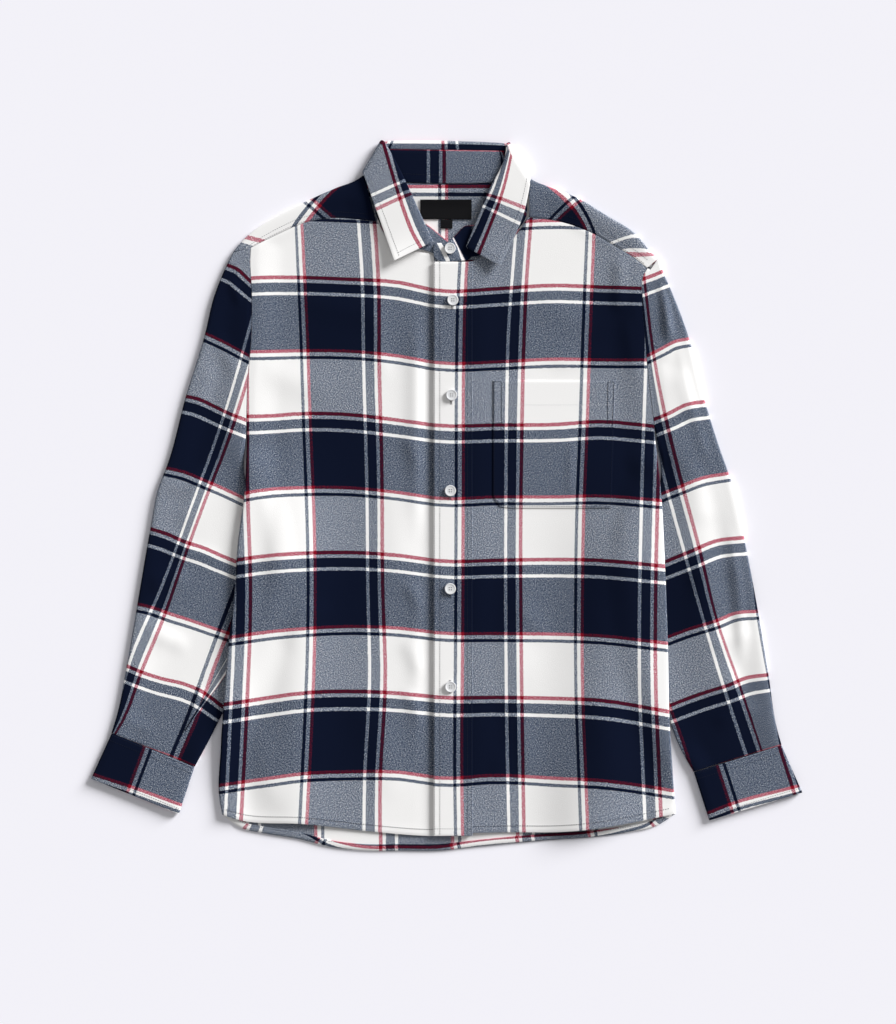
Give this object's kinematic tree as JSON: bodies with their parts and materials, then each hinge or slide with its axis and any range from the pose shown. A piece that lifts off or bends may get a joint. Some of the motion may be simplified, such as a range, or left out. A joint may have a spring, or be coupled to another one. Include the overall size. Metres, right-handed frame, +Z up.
{
  "type": "flannel shirt",
  "caption": "Long-sleeved plaid flannel shirt laid flat, front up, with turned-down collar, button placket, chest pocket and cuffs.",
  "frame": {"origin": "centre of the laid-out shirt's box, on the surface that it lies on", "axes": "+X to the wearer's left, +Y towards the collar, +Z up out of the front of the shirt"},
  "size_m": [0.811, 0.81, 0.0123],
  "materials": {
    "flannel": "brushed cotton twill, plaid in navy, white, grey and red",
    "button_plastic": "off-white, polished",
    "label_woven": "black woven satin, bare"
  },
  "bodies": {
    "root": {"back": "flannel", "front_right": "flannel", "front_left": "flannel", "yoke": "flannel", "sleeve_right": "flannel", "sleeve_left": "flannel", "cuff_right": "flannel", "cuff_left": "flannel", "collar_stand": "flannel", "collar_leaf": "flannel", "placket": "flannel", "pocket": "flannel", "neck_label": "label_woven", "size_tab": "label_woven", "button_collar": "button_plastic", "button_1": "button_plastic", "button_2": "button_plastic", "button_3": "button_plastic", "button_4": "button_plastic", "button_5": "button_plastic"}
  },
  "joints": []
}
